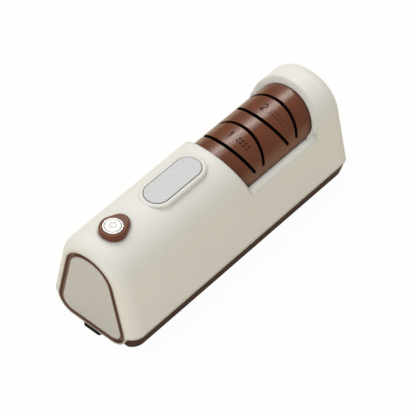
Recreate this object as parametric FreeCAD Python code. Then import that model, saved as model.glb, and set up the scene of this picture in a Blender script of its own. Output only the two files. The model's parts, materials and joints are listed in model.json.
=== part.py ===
"""Electric knife sharpener with a lift-off grinding head.

Millimetres. The origin is on the surface the feet stand on, at the middle of
the length. X runs from the panelled near end (minus) to the hooded far end
(plus), the button side is the near half, and Z is up.
"""
import FreeCAD
import Part

import math
import os

V = FreeCAD.Vector
X_AXIS = V(1, 0, 0)
Y_AXIS = V(0, 1, 0)
Z_AXIS = V(0, 0, 1)

# Cutters: how far they run past a face, past the opening and past everything
OVERCUT = 1.0
PAST_CUT = 30.0
BEYOND = 99.0
SKIM = 0.01
TOLERANCE = 1e-3

# Whole body
LENGTH = 206.0
HALF_WIDTH = 35.0
SEAM_Z = 14.5
HEIGHT = 74.8
SIDE_LEAN = 12.2
SHOULDER_EASE = 9.0
CROWN_EASE = 4.0
SHOULDER_R = HALF_WIDTH - SHOULDER_EASE
CROWN_R = HALF_WIDTH - CROWN_EASE
NEAR_ROUND = 10.4
FAR_ROUND = 9.0
WALL = 2.4
CAVITY_DROP = 5.0
FIT_GAP = 0.1
MOVE_GAP = 0.3
NEAR_X = -LENGTH / 2
FAR_X = LENGTH / 2

# Near end face
END_FLAT_INSET = 6.4
END_WALL = 5.0
CHIN_Z = 2.8
CHIN_DEPTH = 3.0
CHIN_CORNER_R = 12.0
BEZEL_MARGIN = 0.8
BEZEL_WIDTH = 3.4
BEZEL_DEPTH = 2.4
BEZEL_GROOVE_DEPTH = 1.8
BEZEL_WALL = 0.6
PANEL_EDGE_R = 0.6

# Opening for the grinding head
HOOD_LENGTH = 23.2
CUT_LENGTH = 71.3
CUT_FAR_X = FAR_X - HOOD_LENGTH
CUT_NEAR_X = CUT_FAR_X - CUT_LENGTH
CUT_MID_X = (CUT_NEAR_X + CUT_FAR_X) / 2
CUT_NEAR_LEAN = 19.5
CUT_FAR_LEAN = 16.5
CUT_LEVEL_DROP = 11.2
CUT_LEVEL = HEIGHT - CUT_LEVEL_DROP
LEDGE_DROP = 24.4
LEDGE_Z = HEIGHT - LEDGE_DROP
LEDGE_FALL = 30.0
CUT_CORNER_R = 6.0
COLLAR_DEPTH = 9.0
LIP_THICK = 2.0
LIP_WIDTH = 1.8

# Grinding head cover
HEAD_INSET = 4.1
HEAD_WALL = 2.0
HEAD_END_WALL = 2.0
HEAD_END_RISE = 1.6
HEAD_END_BOTTOM = LEDGE_Z + HEAD_END_RISE
SLOT_WIDTH = 2.3
SLOT_LEAN = 20.8
SLOT_FLOOR_DROP = 19.5
SLOT_FLOOR_Z = HEIGHT - SLOT_FLOOR_DROP
SLOT_FLOOR_HALF_GAP = 3.8
SLOT_FLOOR_ROUND = 0.4
STAGE_SHIFT = 1.3
STAGE_MID_X = CUT_MID_X - STAGE_SHIFT
STAGE_END_ROOM = 40.0
STAGE_PITCH = CUT_LENGTH - STAGE_END_ROOM
STAGES = (STAGE_MID_X - STAGE_PITCH / 2, STAGE_MID_X + STAGE_PITCH / 2)
GUIDE_GAP = 0.2
GUIDE_SLOT_EXTRA = 0.5
GUIDE_END_GAP = 3.0
GUIDE_WEB = 4.0
WHEEL_SIDE_CLEAR = 0.8
WHEEL_TOP_CLEAR = 1.0

# Grinding spindle
AXLE_DROP = 20.3
AXLE_Z = SLOT_FLOOR_Z - AXLE_DROP
AXLE_R = 3.0
AXLE_TAIL = 1.4
AXLE_CHAMFER = 0.5
WHEEL_R = 21.5
WHEEL_HALF = 2.6
WHEEL_WEB_SHARE = 0.5
WHEEL_RIM_BEVEL = 1.0
WHEEL_HUB_R = 7.5
WHEEL_HUB_HALF = 4.5
WHEEL_HOLES = 6
WHEEL_HOLE_R = 1.5
WHEEL_HOLE_SHIFT = 0.2
GRIT_BAND = 7.0
GRIT_THICK = 0.5
GRIT_OUTER_INSET = 0.2
GRIT_INNER_INSET = 0.6
RUNNING_GAP = 0.04
BEARING_R = 6.5
BEARING_WIDTH = 5.0
BEARING_RACE = 1.1
INNER_RACE = 1.0
SHIELD_DEPTH = 0.4
COUPLING_R = 5.0
COUPLING_LENGTH = 9.5
COUPLING_CLEAR = 1.0
SHAFT_END_GAP = 0.2
CLIP_R = 5.0
CLIP_THICK = 0.8
CLIP_BITE = 0.6
CLIP_NOTCH_ANGLES = (30, 150)
CLIP_NOTCH_R = 1.1
CLIP_NOTCH_REACH = 3.4
CLIP_MOUTH_HALF = 1.6
SPACER_R = 4.6

# Trough that carries the bearings and catches grit
TROUGH_END_WALL = 5.4
TROUGH_END_GAP = 1.4
TROUGH_HALF = 23.6
TROUGH_WALL = 1.8
TROUGH_FLOOR = 1.6
TROUGH_TOP_Z = AXLE_Z
TROUGH_END_TOP_R = 9.5
TROUGH_END_ROOT = 6.0
TROUGH_OUTER_R = 9.0
TROUGH_INNER_R = 7.5

# Motor
MOTOR_R = 13.85
MOTOR_LENGTH = 37.8
MOTOR_WALL = 1.0
MOTOR_FLAT = 11.4
MOTOR_CAP = 4.0
MOTOR_CAP_STEP = 0.4
MOTOR_CAP_BOSS = 1.5
MOTOR_CAP_BOSS_R = 4.5
MOTOR_CAP_BORE = 0.8
MOTOR_TAB = 3.0
MOTOR_TAB_Y = 8.0
MOTOR_TAB_WIDTH = 2.8
MOTOR_TAB_THICK = 0.5
MOTOR_SHAFT_R = 1.15
MOTOR_BOSS_R = 4.0
MOTOR_BOSS = 1.6
MOTOR_GAP_TO_CUT = 11.0
ROTOR_BACK_GAP = 9.0
ROTOR_FRONT_GAP = 5.0
ROTOR_SLOTS = 3
ROTOR_SLOT_R = 2.2
COMMUTATOR_BACK_GAP = 3.0
COMMUTATOR_LENGTH = 4.0
COMMUTATOR_R = 3.4
MOUNT_THICK = 2.5
MOUNT_HALF = 17.0
MOUNT_RISE = 16.0
MOUNT_TOP_Z = AXLE_Z + MOUNT_RISE
MOUNT_CORNER_R = 8.0
MOUNT_FOOT = 14.0
MOUNT_FOOT_THICK = 3.0
GUSSET_THICK = 2.4
GUSSET_REACH = 13.0
GUSSET_HEIGHT = 14.0
MOTOR_SCREW_PITCH = 16.0
MOTOR_SCREW_R = 1.2
MOTOR_SCREW_HEAD_R = 2.2
MOTOR_SCREW_SHANK = 4.5
MOTOR_TAP_R = 1.25
MOTOR_SCREW_HOLE_R = 1.45

# Small screws of the board and the battery strap
SMALL_SCREW_R = 0.85
SMALL_HEAD_R = 2.0
SMALL_HEAD = 1.4
PILOT_R = 0.9

# Battery
CELL_R = 9.2
CELL_GAP = 0.6
CELL_END_CLEAR = 1.6
CELL_MOTOR_CLEAR = 2.3
CELL_TIP = 1.2
CELL_TIP_R = 3.2
CRADLE_RIB = 2.2
CRADLE_HALF = 1.0
CRADLE_SIDE = 1.6
CRADLE_TOP_DROP = 2.0
CRADLE_SHARES = (0.2, 0.8)
STRAP_WIDTH = 12.0
STRAP_THICK = 1.6
STRAP_POST_GAP = 4.4
STRAP_POST_R = 3.0
STRAP_POST_FLOOR = 2.0
STRAP_END = 3.2
STRAP_HOLE_R = 1.2
STRAP_SCREW_SHANK = 8.0

# Base
FOOT_Z = 3.6
FLOOR = 2.4
BASE_TAPER = 2.6
BASE_TOP_INSET = 0.15
BASE_EDGE_R = 1.2
BASE_CORNER_SHARE = 0.3
TONGUE_HEIGHT = 2.0
TONGUE_ROOT = 2.0
TONGUE_CLEAR = 1.0
TONGUE_WALL = 1.2
SHELF_HEIGHT = 3.2
SHELF_BITE = 0.4
FRONT_WALL_LIFT = 0.6
BOSS_R = 3.6
BOSS_STAND = 3.0
BASE_BOSS_WALL = 0.8
SCREW_R = 1.5
SCREW_CLEAR = 0.2
SCREW_HEAD_R = 2.8
SCREW_HEAD = 1.8
SCREW_SINK = 0.6
SCREW_LENGTH = 12.0
SCREW_TIP_GAP = 2.0
CROSS_HALF = 1.6
CROSS_WIDTH = 0.6
CROSS_DEPTH = 0.9
SCREW_NEAR_INSET = 15.0
SCREW_NEAR_SIDE = 10.0
SCREW_NEAR_X = NEAR_X + SCREW_NEAR_INSET
SCREW_NEAR_Y = HALF_WIDTH - SCREW_NEAR_SIDE
SCREW_FAR_INSET = 12.0
SCREW_FAR_SIDE = 12.5
SCREW_FAR_X = FAR_X - SCREW_FAR_INSET
SCREW_FAR_Y = HALF_WIDTH - SCREW_FAR_SIDE

# Feet
FOOT_R = 5.5
FOOT_SEAT = 1.0
FOOT_EDGE_R = 0.8
FOOT_INSET_X = 30.0
FOOT_SIDE = 11.0
FOOT_Y = HALF_WIDTH - FOOT_SIDE
END_FOOT_WIDTH = 14.0
END_FOOT_LENGTH = 8.0
END_FOOT_PROUD = 0.8
END_FOOT_CORNER_R = 2.0

# Top plate
PLATE_TO_CUT = 36.4
PLATE_MID_X = CUT_NEAR_X - PLATE_TO_CUT
PLATE_LENGTH = 44.5
PLATE_WIDTH = 17.2
PLATE_THICK = 1.5
PLATE_PROUD = 0.4
PLATE_GAP = 0.15
PLATE_EDGE_R = 0.3
PAD_BORDER = 2.8
PAD_RISE = 0.5
PAD_ROOT = 2.0
PAD_EDGE_R = 0.8

# Power button
BUTTON_INSET = 22.5
BUTTON_X = NEAR_X + BUTTON_INSET
COLLAR_BIG_R = 8.7
COLLAR_SMALL_R = 6.2
COLLAR_SPAN = 5.9
COLLAR_TOP = 3.4
COLLAR_SEAT = 2.6
COLLAR_EDGE_R = 1.0
WELL_FLOOR = 2.0
RING_OUTER_R = 6.4
RING_WIDTH = 0.8
RING_PROUD = 0.5
RING_DEPTH = 1.6
RING_EDGE_R = 0.3
BUTTON_PROUD = 1.0
BUTTON_TRAVEL = 1.2
BUTTON_SKIRT = 5.0
BUTTON_EDGE_R = 0.8
BUTTON_ROOF = 1.8
BUTTON_SIDE = 1.2
BUTTON_STEM_R = 2.2

# Control board
BOARD_DROP = 20.0
BOARD_LENGTH = 40.0
BOARD_WIDTH = 30.0
BOARD_THICK = 1.6
BOARD_NEAR_SHARE = 0.3
BOARD_END_CLEAR = 0.8
BOARD_POST_R = 3.0
BOARD_POST_INSET = 4.5
BOARD_POST_EDGE = 0.6
BOARD_HOLE_R = 1.3
BOARD_PILOT_DEPTH = 8.0
BOARD_SCREW_SHANK = 7.0
CHIP_SIZE = 10.0
CHIP_HEIGHT = 1.4
COIL_SIZE = 5.0
COIL_HEIGHT = 2.6
COIL_PLACE = (10.5, -6.5)
CAPACITOR_R = 3.0
CAPACITOR_HEIGHT = 7.0
CAPACITOR_PLACE = (10.0, 6.0)
SWITCH_SIZE = 8.4
SWITCH_HEIGHT = 7.4
PLUNGER_R = 1.8
PLUNGER_DEPTH = 2.4
PLUNGER_PROUD = 0.8

# Charging socket
PORT_INSET = 37.0
PORT_X = NEAR_X + PORT_INSET
PORT_Z = 27.0
PORT_WIDTH = 8.9
PORT_HEIGHT = 3.2
PORT_DEPTH = 7.4
PORT_SHELL = 0.4
PORT_MARGIN = 0.5
PORT_RECESS = 1.0
PORT_HOLE_REACH = 8.0
PORT_TONGUE_WIDTH = 6.0
PORT_TONGUE_THICK = 0.7
PORT_TONGUE_RECESS = 1.2
PORT_BOARD = 1.2
PORT_BOARD_LENGTH = 16.0
PORT_BOARD_WIDTH = 9.0
PORT_BOARD_TAIL = 3.0
PORT_RIB = 1.6
PORT_RIB_DEPTH = 2.8
PORT_RIB_INSET = 3.0


def save(name, shape):
    """Write one node and say what it holds."""
    solids = shape.Solids
    shape = solids[0] if len(solids) == 1 else Part.makeCompound(solids)
    if not shape.isValid():
        print("not valid:", name)
    shape.exportStep("parts/%s.step" % name)
    print(name, len(solids), "solids", round(shape.Volume, 1))


def box(x0, x1, y0, y1, z0, z1):
    return Part.makeBox(x1 - x0, y1 - y0, z1 - z0, V(x0, y0, z0))


def rod_x(x0, x1, radius, y=0.0, z=AXLE_Z):
    return Part.makeCylinder(radius, x1 - x0, V(x0, y, z), X_AXIS)


def rod_z(x, y, z0, z1, radius):
    return Part.makeCylinder(radius, z1 - z0, V(x, y, z0), Z_AXIS)


def fuse_all(shapes):
    whole = shapes[0]
    if len(shapes) > 1:
        whole = whole.multiFuse(shapes[1:])
    return whole.removeSplitter()


def arch_joints(inset):
    """Where the straight side, shoulder arc and crown arc of the section meet."""
    lean = math.radians(SIDE_LEAN)
    shoulder = SHOULDER_R - inset
    crown = CROWN_R - inset
    reach = HALF_WIDTH * math.cos(lean) + SEAM_Z * math.sin(lean) - inset
    crown_z = HEIGHT - CROWN_R
    a = (reach - shoulder) / math.cos(lean)
    b = math.tan(lean)
    qa = 1 + b * b
    qb = -2 * (a * b + crown_z)
    qc = a * a + crown_z ** 2 - (crown - shoulder) ** 2
    centre_z = (-qb + math.sqrt(qb * qb - 4 * qa * qc)) / (2 * qa)
    centre_y = a - b * centre_z
    return lean, shoulder, crown, reach, crown_z, centre_y, centre_z


def arch_face(inset, bottom, corner=0.0, x=0.0):
    """The body's cross-section, drawn inward by inset, closed at height bottom."""
    lean, shoulder, crown, reach, crown_z, cy, cz = arch_joints(inset)
    meet = math.atan2(cz - crown_z, cy)

    def at(angle, radius, y, z):
        return V(x, y + radius * math.cos(angle), z + radius * math.sin(angle))

    low_y = (reach - bottom * math.sin(lean)) / math.cos(lean)
    side_top = at(lean, shoulder, cy, cz)
    shoulder_mid = at((lean + meet) / 2, shoulder, cy, cz)
    shoulder_top = at(meet, shoulder, cy, cz)
    crest = V(x, 0, crown_z + crown)

    def mirror(p):
        return V(p.x, -p.y, p.z)

    edges = []
    if corner > 0:
        cut_z = bottom + corner
        corner_y = (reach - corner - cut_z * math.sin(lean)) / math.cos(lean)
        side_low = at(lean, corner, corner_y, cut_z)
        turn = at((lean - math.pi / 2) / 2, corner, corner_y, cut_z)
        floor_end = V(x, corner_y, bottom)
        edges.append(Part.makeLine(mirror(floor_end), floor_end))
        edges.append(Part.Arc(floor_end, turn, side_low).toShape())
    else:
        side_low = V(x, low_y, bottom)
        edges.append(Part.makeLine(mirror(side_low), side_low))
    edges.append(Part.makeLine(side_low, side_top))
    edges.append(Part.Arc(side_top, shoulder_mid, shoulder_top).toShape())
    edges.append(Part.Arc(shoulder_top, crest, mirror(shoulder_top)).toShape())
    edges.append(Part.Arc(mirror(shoulder_top), mirror(shoulder_mid), mirror(side_top)).toShape())
    edges.append(Part.makeLine(mirror(side_top), mirror(side_low)))
    if corner > 0:
        edges.append(Part.Arc(mirror(side_low), mirror(turn), mirror(floor_end)).toShape())
    return Part.Face(Part.Wire(edges))


def arch_bar(inset, bottom, x0, x1, corner=0.0):
    return arch_face(inset, bottom, corner, x0).extrude(V(x1 - x0, 0, 0))


def half_width_at(z, inset=0.0):
    """Half-width of the leaning side at height z."""
    lean = math.radians(SIDE_LEAN)
    reach = HALF_WIDTH * math.cos(lean) + SEAM_Z * math.sin(lean) - inset
    return (reach - z * math.sin(lean)) / math.cos(lean)


def edges_at_x(shape, x):
    """Edges that lie in the plane at x."""
    found = []
    for edge in shape.Edges:
        bounds = edge.BoundBox
        if abs(bounds.XMin - x) < TOLERANCE and abs(bounds.XMax - x) < TOLERANCE:
            found.append(edge)
    return found


def end_outline(shape, x, floor_z):
    """The end face's outline, without the straight edge at its foot."""
    return [e for e in edges_at_x(shape, x) if e.BoundBox.ZMax > floor_z + TOLERANCE]


def stadium(x_mid, length, width, z0, z1, y_mid=0.0):
    """A slot-shaped block that runs along X."""
    r = width / 2
    reach = length / 2 - r
    body = box(x_mid - reach, x_mid + reach, y_mid - r, y_mid + r, z0, z1)
    ends = [rod_z(x_mid + s * reach, y_mid, z0, z1, r) for s in (-1, 1)]
    return fuse_all([body] + ends)


def round_edges_at_z(shape, z, radius):
    edges = []
    for edge in shape.Edges:
        bounds = edge.BoundBox
        if abs(bounds.ZMin - z) < TOLERANCE and abs(bounds.ZMax - z) < TOLERANCE:
            edges.append(edge)
    return shape.makeFillet(radius, edges)


def slanted(x_at_level, lean_deg, z):
    """X of a leaning end plane of the head opening at height z."""
    return x_at_level + math.tan(math.radians(lean_deg)) * (z - CUT_LEVEL)


def head_window(gap, floor_z, corner):
    """Side view of the head opening, drawn smaller by gap, as a block across Y."""
    top_z = HEIGHT + PAST_CUT
    near = [slanted(CUT_NEAR_X, -CUT_NEAR_LEAN, z) + gap for z in (floor_z, top_z)]
    far = [slanted(CUT_FAR_X, CUT_FAR_LEAN, z) - gap for z in (floor_z, top_z)]
    half = HALF_WIDTH + PAST_CUT
    points = [V(near[0], -half, floor_z), V(far[0], -half, floor_z), V(far[1], -half, top_z)]
    points.append(V(near[1], -half, top_z))
    wire = Part.makePolygon(points + [points[0]])
    block = Part.Face(wire).extrude(V(0, 2 * half, 0))
    if corner > 0:
        edges = []
        for edge in block.Edges:
            b = edge.BoundBox
            if b.YLength > half and b.ZMax < floor_z + TOLERANCE and b.XMin > CUT_MID_X:
                edges.append(edge)
        block = block.makeFillet(corner, edges)
    return block


def body_block():
    """The housing's outside, with rounded ends and the chin below the end panel."""
    block = arch_bar(0, SEAM_Z, NEAR_X, FAR_X)
    block = block.makeFillet(FAR_ROUND, end_outline(block, FAR_X, SEAM_Z))
    return block.makeFillet(NEAR_ROUND, end_outline(block, NEAR_X, SEAM_Z))


def rim_x():
    """Where the near fillet has drawn the outline in by END_FLAT_INSET."""
    drop = NEAR_ROUND - END_FLAT_INSET
    return NEAR_X + NEAR_ROUND - math.sqrt(NEAR_ROUND ** 2 - drop ** 2)


def inside_bar():
    """The space between the housing's walls, before its ends are rounded."""
    return arch_bar(WALL, SEAM_Z - CAVITY_DROP, rim_x() + END_WALL, FAR_X - WALL)


def upper_housing():
    """Moulded shell: rounded arch, head opening with its collar, hood and bosses."""
    face_x = rim_x()
    outside = body_block().cut(box(NEAR_X - OVERCUT, face_x, -BEYOND, BEYOND, 0, BEYOND))
    chin = arch_bar(END_FLAT_INSET, CHIN_Z, face_x, face_x + CHIN_DEPTH, CHIN_CORNER_R)
    outside = outside.fuse(chin).removeSplitter()
    inner = inside_bar()
    cavity = inner.makeFillet(FAR_ROUND - WALL, end_outline(inner, FAR_X - WALL, SEAM_Z - CAVITY_DROP))
    collar_z = LEDGE_Z - COLLAR_DEPTH
    cavity = cavity.cut(head_window(-WALL, collar_z, 0))
    shell = outside.cut(cavity)
    shell = shell.cut(head_window(0, LEDGE_Z, CUT_CORNER_R)).cut(ledge_slopes())
    lip_top = collar_z + LIP_THICK
    shaft = head_window(0, lip_top, 0).common(skirt_block(MOVE_GAP, lip_top, LEDGE_Z + OVERCUT))
    throat = head_window(LIP_WIDTH, collar_z - OVERCUT, 0)
    throat = throat.common(skirt_block(MOVE_GAP - LIP_WIDTH, collar_z - OVERCUT, lip_top + OVERCUT))
    shell = shell.cut(shaft).cut(throat)
    notch = rod_x(CUT_NEAR_X - PAST_CUT, CUT_FAR_X + PAST_CUT, TROUGH_END_TOP_R + 2 * MOVE_GAP)
    shell = shell.cut(notch.common(inner))
    shell = shell.fuse(screw_columns(inner)).fuse(board_frame(inner)).fuse(port_ribs(inner))
    shell = add_top_pad(shell)
    shell = add_button_well(shell)
    shell = cut_end_recess(shell, face_x)
    shell = shell.cut(port_hole())
    return shell.removeSplitter()


def ledge_slopes():
    """Wedges that let the ledge beside the head fall away outward."""
    y0 = half_width_at(LEDGE_Z, HEAD_INSET)
    y1 = HALF_WIDTH + OVERCUT
    drop = (y1 - y0) * math.tan(math.radians(LEDGE_FALL))
    x0, x1 = CUT_NEAR_X - PAST_CUT, CUT_FAR_X + PAST_CUT
    top = LEDGE_Z + OVERCUT
    wedges = []
    for side in (-1, 1):
        points = [V(x0, side * y0, LEDGE_Z), V(x0, side * y1, LEDGE_Z - drop), V(x0, side * y1, top)]
        points.append(V(x0, side * y0, top))
        wedges.append(Part.Face(Part.makePolygon(points + [points[0]])).extrude(V(x1 - x0, 0, 0)))
    return Part.makeCompound(wedges).common(head_window(0, LEDGE_Z - drop - OVERCUT, 0))


def skirt_half():
    """Half-width of the cover where it meets the ledge."""
    return half_width_at(LEDGE_Z, HEAD_INSET)


def skirt_far():
    """Far end of the cover's skirt, short of the opening's rounded corner."""
    corner_reach = CUT_CORNER_R / math.tan(math.radians((90 + CUT_FAR_LEAN) / 2))
    return slanted(CUT_FAR_X, CUT_FAR_LEAN, LEDGE_Z) - corner_reach - MOVE_GAP


def skirt_block(grow, z0, z1):
    """Upright block round the cover's skirt, so that the cover lifts straight out."""
    half = skirt_half() + grow
    return box(CUT_NEAR_X - PAST_CUT, skirt_far() + grow, -half, half, z0, z1)


def screw_spots():
    near = [(SCREW_NEAR_X, s * SCREW_NEAR_Y) for s in (-1, 1)]
    far = [(SCREW_FAR_X, s * SCREW_FAR_Y) for s in (-1, 1)]
    return near + far


def boss_bottom():
    return FOOT_Z + FLOOR + FIT_GAP + BOSS_STAND


def screw_columns(inner):
    columns = []
    for x, y in screw_spots():
        column = rod_z(x, y, boss_bottom(), HEIGHT, BOSS_R)
        column = column.common(inner)
        column = column.cut(rod_z(x, y, 0, boss_bottom() + SCREW_LENGTH, SCREW_R))
        columns.append(column)
    return Part.makeCompound(columns)


def plate_top():
    return HEIGHT + PAD_RISE + PLATE_PROUD


def add_top_pad(shell):
    """Flat oval pad that frames the top plate."""
    length = PLATE_LENGTH + 2 * PAD_BORDER
    width = PLATE_WIDTH + 2 * PAD_BORDER
    pad = stadium(PLATE_MID_X, length, width, HEIGHT - PAD_ROOT, HEIGHT + PAD_RISE)
    pad = round_edges_at_z(pad, HEIGHT + PAD_RISE, PAD_EDGE_R)
    recess = stadium(PLATE_MID_X, PLATE_LENGTH, PLATE_WIDTH, plate_top() - PLATE_THICK, HEIGHT + OVERCUT)
    inner = arch_bar(WALL, SEAM_Z, NEAR_X, FAR_X)
    return shell.fuse(pad.cut(inner)).cut(recess)


def top_plate():
    top = plate_top()
    width = PLATE_WIDTH - 2 * PLATE_GAP
    plate = stadium(PLATE_MID_X, PLATE_LENGTH - 2 * PLATE_GAP, width, top - PLATE_THICK, top)
    return round_edges_at_z(plate, top, PLATE_EDGE_R)


def egg(grow, z0, z1):
    """Block between two tangent circles: the wide lobe holds the button."""
    big = COLLAR_BIG_R + grow
    small = COLLAR_SMALL_R + grow
    turn = math.acos((big - small) / COLLAR_SPAN)

    def on(centre_x, radius, angle):
        return V(centre_x + radius * math.cos(angle), radius * math.sin(angle), z0)

    far = BUTTON_X + COLLAR_SPAN
    big_arc = Part.Arc(on(BUTTON_X, big, turn), on(BUTTON_X, big, math.pi), on(BUTTON_X, big, -turn))
    small_arc = Part.Arc(on(far, small, -turn), on(far, small, 0), on(far, small, turn))
    low = Part.makeLine(on(BUTTON_X, big, -turn), on(far, small, -turn))
    high = Part.makeLine(on(far, small, turn), on(BUTTON_X, big, turn))
    wire = Part.Wire([big_arc.toShape(), low, small_arc.toShape(), high])
    return Part.Face(wire).extrude(V(0, 0, z1 - z0))


def collar_floor():
    return HEIGHT - COLLAR_SEAT


def add_button_well(shell):
    """Pocket for the button collar, thickened from below, with the button's bore."""
    inner = arch_bar(WALL, SEAM_Z, NEAR_X + END_WALL, FAR_X)
    well = egg(WALL, collar_floor() - WELL_FLOOR, HEIGHT).common(inner)
    shell = shell.fuse(well)
    shell = shell.cut(egg(FIT_GAP, collar_floor(), HEIGHT + OVERCUT))
    bore_floor = collar_floor() - WELL_FLOOR - OVERCUT
    return shell.cut(rod_z(BUTTON_X, 0, bore_floor, HEIGHT, button_r() + MOVE_GAP))


def button_r():
    return RING_OUTER_R - RING_WIDTH - MOVE_GAP


def button_collar():
    top = HEIGHT + COLLAR_TOP
    collar = egg(0, collar_floor(), top)
    collar = round_edges_at_z(collar, top, COLLAR_EDGE_R)
    seat = rod_z(BUTTON_X, 0, top - RING_DEPTH, top + OVERCUT, RING_OUTER_R + FIT_GAP)
    bore = rod_z(BUTTON_X, 0, collar_floor() - OVERCUT, top + OVERCUT, button_r() + MOVE_GAP)
    return collar.cut(seat).cut(bore)


def button_ring():
    top = HEIGHT + COLLAR_TOP
    low = top - RING_DEPTH
    high = top + RING_PROUD
    ring = rod_z(BUTTON_X, 0, low, high, RING_OUTER_R)
    ring = round_edges_at_z(ring, high, RING_EDGE_R)
    return ring.cut(rod_z(BUTTON_X, 0, low - OVERCUT, high + OVERCUT, RING_OUTER_R - RING_WIDTH))


def button_top():
    return HEIGHT + COLLAR_TOP + BUTTON_PROUD


def switch_top():
    return board_top() + SWITCH_HEIGHT


def power_button():
    """Domed cap with a skirt and a stem that meets the switch plunger."""
    r = button_r()
    top = button_top()
    cap = rod_z(BUTTON_X, 0, top - BUTTON_SKIRT, top, r)
    cap = round_edges_at_z(cap, top, BUTTON_EDGE_R)
    cap = cap.cut(rod_z(BUTTON_X, 0, top - BUTTON_SKIRT - OVERCUT, top - BUTTON_ROOF, r - BUTTON_SIDE))
    stem = rod_z(BUTTON_X, 0, plunger_top(), top - BUTTON_ROOF / 2, BUTTON_STEM_R)
    return fuse_all([cap, stem])


def plunger_top():
    return switch_top() + BUTTON_TRAVEL + PLUNGER_PROUD


def board_top():
    return HEIGHT - BOARD_DROP


def board_span():
    x0 = max(BUTTON_X - BOARD_LENGTH * BOARD_NEAR_SHARE, rim_x() + END_WALL + BOARD_END_CLEAR)
    return x0, BUTTON_X + BOARD_LENGTH * (1 - BOARD_NEAR_SHARE)


def board_posts():
    x0, x1 = board_span()
    y = BOARD_WIDTH / 2 - BOARD_POST_R - BOARD_POST_EDGE
    return [(x, s * y) for x in (x0 + BOARD_POST_INSET, x1 - BOARD_POST_INSET) for s in (-1, 1)]


def control_board():
    """Circuit board with its screw holes and a few mounted parts below."""
    x0, x1 = board_span()
    top = board_top()
    half = BOARD_WIDTH / 2
    low = top - BOARD_THICK
    mid = (x0 + x1) / 2
    chip = CHIP_SIZE / 2
    coil = COIL_SIZE / 2
    coil_x, coil_y = mid + COIL_PLACE[0], COIL_PLACE[1]
    parts = [box(x0, x1, -half, half, low, top)]
    parts.append(box(mid - chip, mid + chip, -chip, chip, low - CHIP_HEIGHT, low))
    parts.append(box(coil_x - coil, coil_x + coil, coil_y - coil, coil_y + coil, low - COIL_HEIGHT, low))
    can_x, can_y = mid + CAPACITOR_PLACE[0], CAPACITOR_PLACE[1]
    parts.append(rod_z(can_x, can_y, low - CAPACITOR_HEIGHT, low, CAPACITOR_R))
    whole = fuse_all(parts)
    for x, y in board_posts():
        whole = whole.cut(rod_z(x, y, 0, HEIGHT, BOARD_HOLE_R))
    return whole


def board_frame(inner):
    """Posts that hang from the roof and hold the circuit board."""
    posts = []
    for x, y in board_posts():
        post = rod_z(x, y, board_top() + FIT_GAP, HEIGHT, BOARD_POST_R).common(inner)
        posts.append(post.cut(rod_z(x, y, 0, board_top() + BOARD_PILOT_DEPTH, PILOT_R)))
    return Part.makeCompound(posts)


def board_screws():
    """Four small screws that hold the circuit board, heads below."""
    screws = []
    low = board_top() - BOARD_THICK
    for x, y in board_posts():
        head = rod_z(x, y, low - SMALL_HEAD, low, SMALL_HEAD_R)
        shank = rod_z(x, y, low, low + BOARD_SCREW_SHANK, SMALL_SCREW_R)
        screws.append(fuse_all([head, shank]))
    return Part.makeCompound(screws)


def power_switch():
    """Push switch body with the pocket its plunger slides in."""
    half = SWITCH_SIZE / 2
    body = box(BUTTON_X - half, BUTTON_X + half, -half, half, board_top(), switch_top())
    depth = PLUNGER_DEPTH + BUTTON_TRAVEL + MOVE_GAP
    return body.cut(rod_z(BUTTON_X, 0, switch_top() - depth, switch_top() + OVERCUT, PLUNGER_R + MOVE_GAP))


def switch_plunger():
    return rod_z(BUTTON_X, 0, switch_top() - PLUNGER_DEPTH, plunger_top(), PLUNGER_R)


def bezel_bar(extra, x0, x1):
    inset = END_FLAT_INSET + BEZEL_MARGIN + extra
    corner = CHIN_CORNER_R - BEZEL_MARGIN - extra
    return arch_bar(inset, CHIN_Z + BEZEL_MARGIN + extra, x0, x1, corner)


def cut_end_recess(shell, face_x):
    return shell.cut(bezel_bar(0, face_x - OVERCUT, face_x + BEZEL_DEPTH + FIT_GAP))


def end_bezel():
    """Ring round the end panel, with a groove along its face."""
    face_x = rim_x()
    back = face_x + BEZEL_DEPTH
    ring = bezel_bar(FIT_GAP, face_x, back)
    ring = ring.cut(bezel_bar(BEZEL_WIDTH, face_x - OVERCUT, back + OVERCUT))
    groove = bezel_bar(FIT_GAP + BEZEL_WALL, face_x - OVERCUT, face_x + BEZEL_GROOVE_DEPTH)
    groove = groove.cut(bezel_bar(BEZEL_WIDTH - BEZEL_WALL, face_x - 2 * OVERCUT, back + OVERCUT))
    return ring.cut(groove)


def end_panel():
    """Flat insert inside the bezel."""
    face_x = rim_x()
    panel = bezel_bar(BEZEL_WIDTH + FIT_GAP, face_x, face_x + BEZEL_DEPTH)
    return panel.makeFillet(PANEL_EDGE_R, edges_at_x(panel, face_x))


def plan_face(inset, z):
    """Rounded rectangle of the body's footprint, drawn inward by inset."""
    x0 = NEAR_X + inset
    x1 = FAR_X - inset
    y1 = HALF_WIDTH - inset
    near = NEAR_ROUND - inset * BASE_CORNER_SHARE
    far = FAR_ROUND - inset * BASE_CORNER_SHARE

    def corner(cx, cy, r, start):
        angles = [start, start + math.pi / 4, start + math.pi / 2]
        return [V(cx + r * math.cos(a), cy + r * math.sin(a), z) for a in angles]

    corners = [corner(x1 - far, y1 - far, far, 0.0)]
    corners.append(corner(x0 + near, y1 - near, near, math.pi / 2))
    corners.append(corner(x0 + near, -y1 + near, near, math.pi))
    corners.append(corner(x1 - far, -y1 + far, far, 1.5 * math.pi))
    edges = []
    for i, points in enumerate(corners):
        edges.append(Part.Arc(*points).toShape())
        edges.append(Part.makeLine(points[2], corners[(i + 1) % 4][0]))
    return Part.Wire(edges)


def base_outline(inset_low, inset_high, z0, z1):
    return Part.makeLoft([plan_face(inset_low, z0), plan_face(inset_high, z1)], True, True)


def chin_back():
    return rim_x() + CHIN_DEPTH + FIT_GAP


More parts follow.
